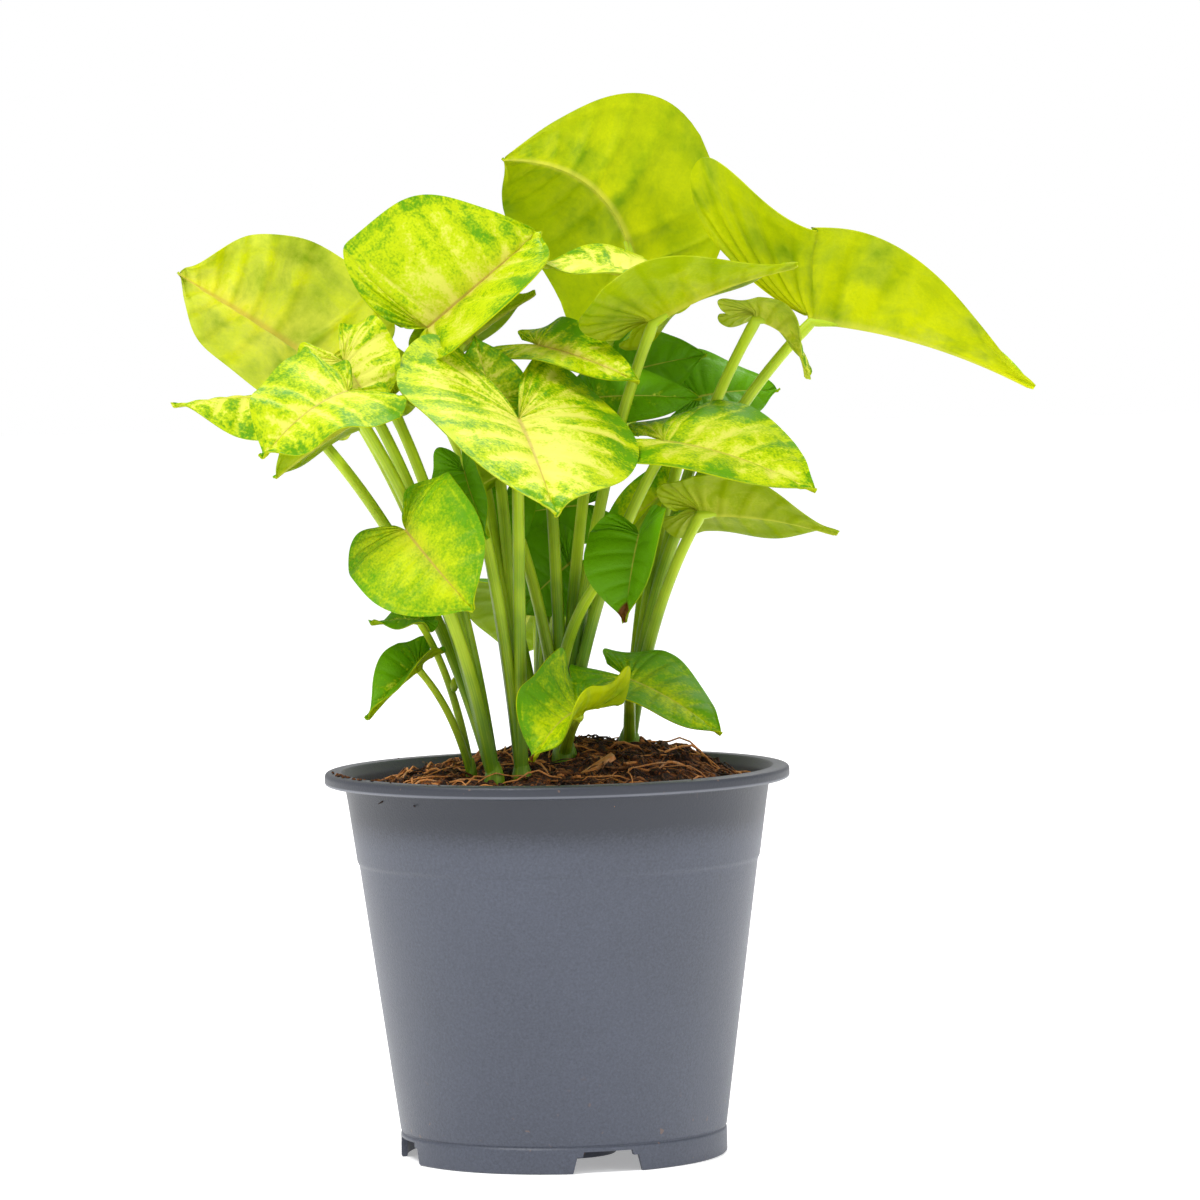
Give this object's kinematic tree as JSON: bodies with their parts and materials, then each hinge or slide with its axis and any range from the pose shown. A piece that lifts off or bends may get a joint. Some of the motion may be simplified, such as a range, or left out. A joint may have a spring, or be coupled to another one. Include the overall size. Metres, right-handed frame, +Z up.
{
  "type": "potted arrowhead plant",
  "caption": "Arrowhead plant with soft arrow-shaped leaves on tall stalks, growing in a round plastic nursery pot filled with dark soil.",
  "frame": {"origin": "centre of the pot's underside, on the floor it stands on", "axes": "+Z up, -Y towards the viewer of the picture, +X to the right in it"},
  "size_m": [0.2233, 0.1872, 0.2738],
  "materials": {
    "pot_plastic": "moulded plastic with a fine grain",
    "peat": "rough and fibrous",
    "leaves": "soft satin leaf"
  },
  "bodies": {
    "root": {"pot": "pot_plastic", "soil": "peat", "shoot_front": "leaves", "shoot_front_left": "leaves", "shoot_left_small": "leaves", "shoot_centre": "leaves", "shoot_back_right": "leaves", "shoot_back": "leaves"}
  },
  "joints": []
}
